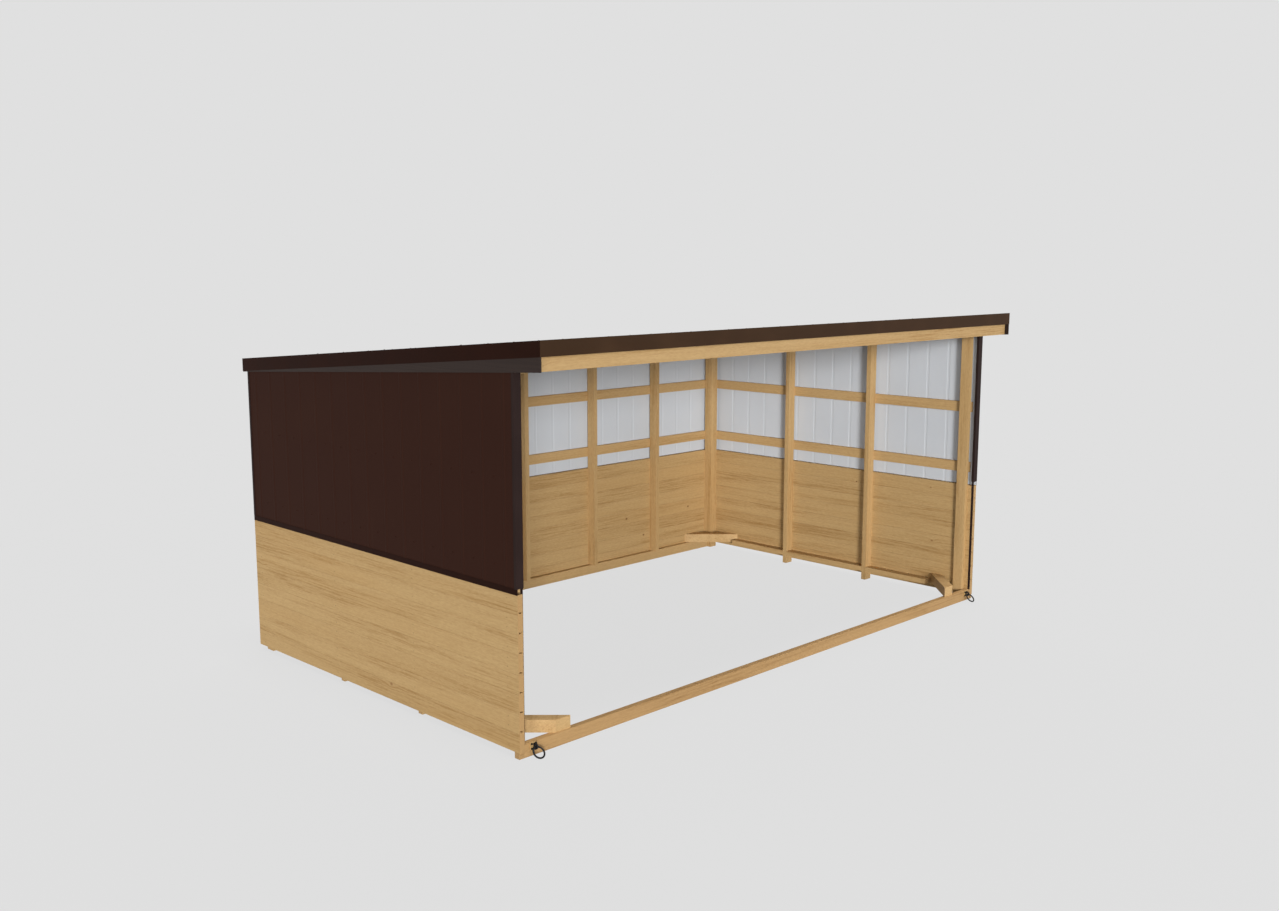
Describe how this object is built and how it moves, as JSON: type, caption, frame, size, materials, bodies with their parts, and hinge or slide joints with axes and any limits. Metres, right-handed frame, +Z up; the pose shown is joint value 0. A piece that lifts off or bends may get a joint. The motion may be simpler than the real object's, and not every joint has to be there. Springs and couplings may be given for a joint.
{
  "type": "loafing shed",
  "caption": "Open-fronted timber field shelter with tongue and groove boards below, profiled metal sheet above, a single-pitch roof, and a hinged towing ring at each front corner.",
  "frame": {"origin": "on the ground under the middle of the roof", "axes": "+X along the open front from left to right as seen from the front, +Y towards the back wall, +Z up"},
  "size_m": [6.032, 3.952, 2.922],
  "materials": {
    "wall_boards": "planed and pressure treated softwood, matt",
    "frame_timber": "sawn softwood, matt",
    "brown_sheet": "dark brown coating outside, pale grey inside, satin",
    "brown_trim": "dark brown coating, satin",
    "dark_board": "dark stained softwood, matt",
    "black_steel": "black painted steel, worn"
  },
  "bodies": {
    "shed": {"left_board_wall": "wall_boards", "right_board_wall": "wall_boards", "back_board_wall": "wall_boards", "left_front_post": "frame_timber", "right_front_post": "frame_timber", "left_corner_post": "frame_timber", "right_corner_post": "frame_timber", "left_studs": "frame_timber", "right_studs": "frame_timber", "back_studs": "frame_timber", "left_girts": "frame_timber", "right_girts": "frame_timber", "back_girts": "frame_timber", "front_ground_beam": "frame_timber", "back_sill": "frame_timber", "front_corner_braces": "frame_timber", "back_corner_braces": "frame_timber", "left_sill": "frame_timber", "right_sill": "frame_timber", "front_header": "frame_timber", "front_beam": "frame_timber", "rafters": "frame_timber", "purlins": "frame_timber", "left_cladding": "brown_sheet", "right_cladding": "brown_sheet", "back_cladding": "brown_sheet", "roof_sheet": "brown_sheet", "front_edge_trim": "brown_trim", "back_edge_trim": "brown_trim", "left_verge_trim": "brown_trim", "right_verge_trim": "brown_trim", "left_verge_board": "dark_board", "right_verge_board": "dark_board", "left_drip_trim": "brown_trim", "right_drip_trim": "brown_trim", "back_drip_trim": "brown_trim", "left_front_corner_trim": "brown_trim", "right_front_corner_trim": "brown_trim", "back_corner_trims": "brown_trim", "left_tow_eye": "black_steel", "right_tow_eye": "black_steel"},
    "left_ring": {"left_tow_ring": "black_steel"},
    "right_ring": {"right_tow_ring": "black_steel"}
  },
  "joints": [
    {"name": "left_ring_hinge", "type": "hinge", "parent": "shed", "child": "left_ring", "pos_m": [-2.879, -1.7175, 0.072], "axis": [-1, 0, 0], "range_deg": [0, 125]},
    {"name": "right_ring_hinge", "type": "hinge", "parent": "shed", "child": "right_ring", "pos_m": [2.879, -1.7175, 0.072], "axis": [-1, 0, 0], "range_deg": [0, 125]}
  ]
}
